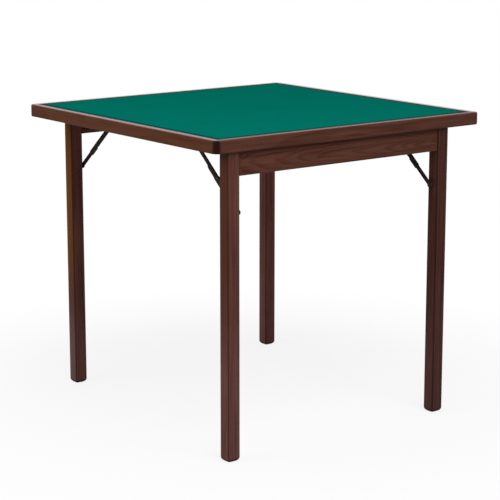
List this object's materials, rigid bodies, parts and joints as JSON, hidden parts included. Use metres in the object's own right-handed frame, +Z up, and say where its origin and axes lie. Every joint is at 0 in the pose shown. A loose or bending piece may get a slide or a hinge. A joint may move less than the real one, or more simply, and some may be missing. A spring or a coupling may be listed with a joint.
{
  "type": "folding card table",
  "caption": "Square card table with a cloth playing surface in a wooden rim and legs that fold flat under the top on hinges and jointed locking stays.",
  "frame": {"origin": "middle of the footprint, on the floor", "axes": "+Z up; X runs along the two aprons; the front of the table faces -Y"},
  "size_m": [0.8, 0.8, 0.744],
  "materials": {
    "rim_wood": "satin, walnut stain",
    "leg_wood": "satin, walnut stain",
    "apron_wood": "satin, walnut stain",
    "board_ply": "bare plywood",
    "green_baize": "short nap",
    "stay_steel": "black lacquer",
    "stay_rivet_steel": "blackened",
    "hinge_steel": "satin"
  },
  "bodies": {
    "top": {"rim_rail_front": "rim_wood", "rim_rail_rear": "rim_wood", "rim_rail_left": "rim_wood", "rim_rail_right": "rim_wood", "playing_board": "board_ply", "playing_cloth": "green_baize", "apron_front": "apron_wood", "apron_rear": "apron_wood", "stay_top_rivets_short": "stay_rivet_steel", "stay_top_rivets_long": "stay_rivet_steel", "hinge_top_leaf_front_left": "hinge_steel", "stay_bracket_front_left": "stay_steel", "hinge_top_leaf_front_right": "hinge_steel", "stay_bracket_front_right": "stay_steel", "hinge_top_leaf_rear_left": "hinge_steel", "stay_bracket_rear_left": "stay_steel", "hinge_top_leaf_rear_right": "hinge_steel", "stay_bracket_rear_right": "stay_steel"},
    "leg_front_left": {"leg_front_left": "leg_wood", "hinge_leg_leaf_front_left": "hinge_steel", "stay_leg_stud_front_left": "stay_rivet_steel"},
    "lower_arm_front_left": {"stay_wide_arm_front_left": "stay_steel"},
    "upper_arm_front_left": {"stay_narrow_arm_front_left": "stay_steel"},
    "leg_front_right": {"leg_front_right": "leg_wood", "hinge_leg_leaf_front_right": "hinge_steel", "stay_leg_stud_front_right": "stay_rivet_steel"},
    "lower_arm_front_right": {"stay_narrow_arm_front_right": "stay_steel"},
    "upper_arm_front_right": {"stay_wide_arm_front_right": "stay_steel"},
    "leg_rear_left": {"leg_rear_left": "leg_wood", "hinge_leg_leaf_rear_left": "hinge_steel", "stay_leg_stud_rear_left": "stay_rivet_steel"},
    "lower_arm_rear_left": {"stay_narrow_arm_rear_left": "stay_steel"},
    "upper_arm_rear_left": {"stay_wide_arm_rear_left": "stay_steel"},
    "leg_rear_right": {"leg_rear_right": "leg_wood", "hinge_leg_leaf_rear_right": "hinge_steel", "stay_leg_stud_rear_right": "stay_rivet_steel"},
    "lower_arm_rear_right": {"stay_wide_arm_rear_right": "stay_steel"},
    "upper_arm_rear_right": {"stay_narrow_arm_rear_right": "stay_steel"}
  },
  "joints": [
    {"name": "fold_front_left", "type": "hinge", "parent": "top", "child": "leg_front_left", "pos_m": [-0.3465, -0.3587, 0.711], "axis": [1, 0, 0], "range_deg": [0, 90]},
    {"name": "stay_lower_front_left", "type": "hinge", "parent": "leg_front_left", "child": "lower_arm_front_left", "pos_m": [-0.3239, -0.3775, 0.575], "axis": [1, 0, 0], "range_deg": [-127, 0]},
    {"name": "stay_upper_front_left", "type": "hinge", "parent": "top", "child": "upper_arm_front_left", "pos_m": [-0.3216, -0.2227, 0.7062], "axis": [1, 0, 0], "range_deg": [0, 137]},
    {"name": "fold_front_right", "type": "hinge", "parent": "top", "child": "leg_front_right", "pos_m": [0.2835, -0.3587, 0.711], "axis": [1, 0, 0], "range_deg": [0, 90]},
    {"name": "stay_lower_front_right", "type": "hinge", "parent": "leg_front_right", "child": "lower_arm_front_right", "pos_m": [0.2586, -0.3775, 0.575], "axis": [1, 0, 0], "range_deg": [-127, 0]},
    {"name": "stay_upper_front_right", "type": "hinge", "parent": "top", "child": "upper_arm_front_right", "pos_m": [0.2609, -0.2227, 0.7062], "axis": [1, 0, 0], "range_deg": [0, 137]},
    {"name": "fold_rear_left", "type": "hinge", "parent": "top", "child": "leg_rear_left", "pos_m": [-0.2835, 0.3587, 0.711], "axis": [-1, 0, 0], "range_deg": [0, 90]},
    {"name": "stay_lower_rear_left", "type": "hinge", "parent": "leg_rear_left", "child": "lower_arm_rear_left", "pos_m": [-0.2586, 0.3775, 0.575], "axis": [-1, 0, 0], "range_deg": [-127, 0]},
    {"name": "stay_upper_rear_left", "type": "hinge", "parent": "top", "child": "upper_arm_rear_left", "pos_m": [-0.2609, 0.2227, 0.7062], "axis": [-1, 0, 0], "range_deg": [0, 137]},
    {"name": "fold_rear_right", "type": "hinge", "parent": "top", "child": "leg_rear_right", "pos_m": [0.3465, 0.3587, 0.711], "axis": [-1, 0, 0], "range_deg": [0, 90]},
    {"name": "stay_lower_rear_right", "type": "hinge", "parent": "leg_rear_right", "child": "lower_arm_rear_right", "pos_m": [0.3239, 0.3775, 0.575], "axis": [-1, 0, 0], "range_deg": [-127, 0]},
    {"name": "stay_upper_rear_right", "type": "hinge", "parent": "top", "child": "upper_arm_rear_right", "pos_m": [0.3216, 0.2227, 0.7062], "axis": [-1, 0, 0], "range_deg": [0, 137]}
  ],
  "couplings": [
    {"joint": "stay_lower_front_left", "follows": "fold_front_left", "ratio": -1.4036},
    {"joint": "stay_upper_front_left", "follows": "fold_front_left", "ratio": 1.5085},
    {"joint": "stay_lower_front_right", "follows": "fold_front_right", "ratio": -1.4036},
    {"joint": "stay_upper_front_right", "follows": "fold_front_right", "ratio": 1.5085},
    {"joint": "stay_lower_rear_left", "follows": "fold_rear_left", "ratio": -1.4036},
    {"joint": "stay_upper_rear_left", "follows": "fold_rear_left", "ratio": 1.5085},
    {"joint": "stay_lower_rear_right", "follows": "fold_rear_right", "ratio": -1.4036},
    {"joint": "stay_upper_rear_right", "follows": "fold_rear_right", "ratio": 1.5085}
  ]
}
